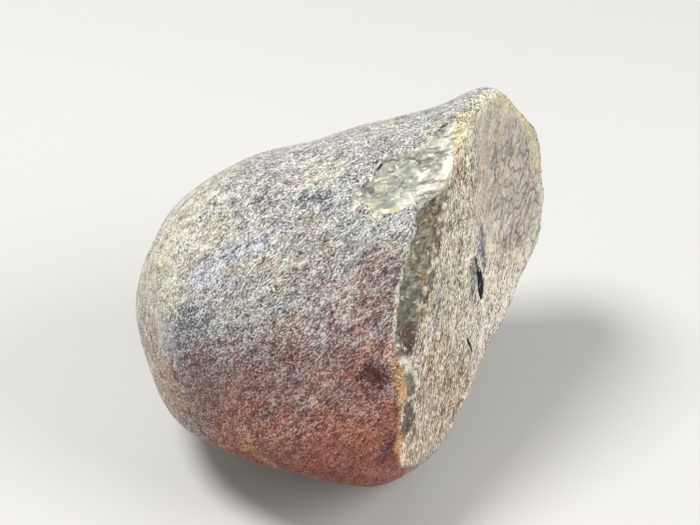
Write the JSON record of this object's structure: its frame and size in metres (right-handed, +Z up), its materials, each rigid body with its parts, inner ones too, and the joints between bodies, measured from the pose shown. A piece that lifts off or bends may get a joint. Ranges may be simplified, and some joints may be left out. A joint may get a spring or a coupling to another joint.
{
  "type": "rough agate nodule",
  "caption": "Hand-sized rough agate: a rounded cobble with a granular rind, broken across one end into a hollowed face, with glassy flakes struck off along the ridge.",
  "frame": {"origin": "on the surface the stone lies on, under the middle of its bounding box", "axes": "+Z up, +X towards the broken end, -Y towards the rounded front with the rind"},
  "size_m": [0.0588, 0.0528, 0.0485],
  "materials": {
    "stone": "natural stone: sugary grey, purple and rust-stained rind, matt; waxy translucent blue-grey chalcedony in the flake scars; cream rim round the broken end"
  },
  "bodies": {
    "root": {"agate": "stone"}
  },
  "joints": []
}
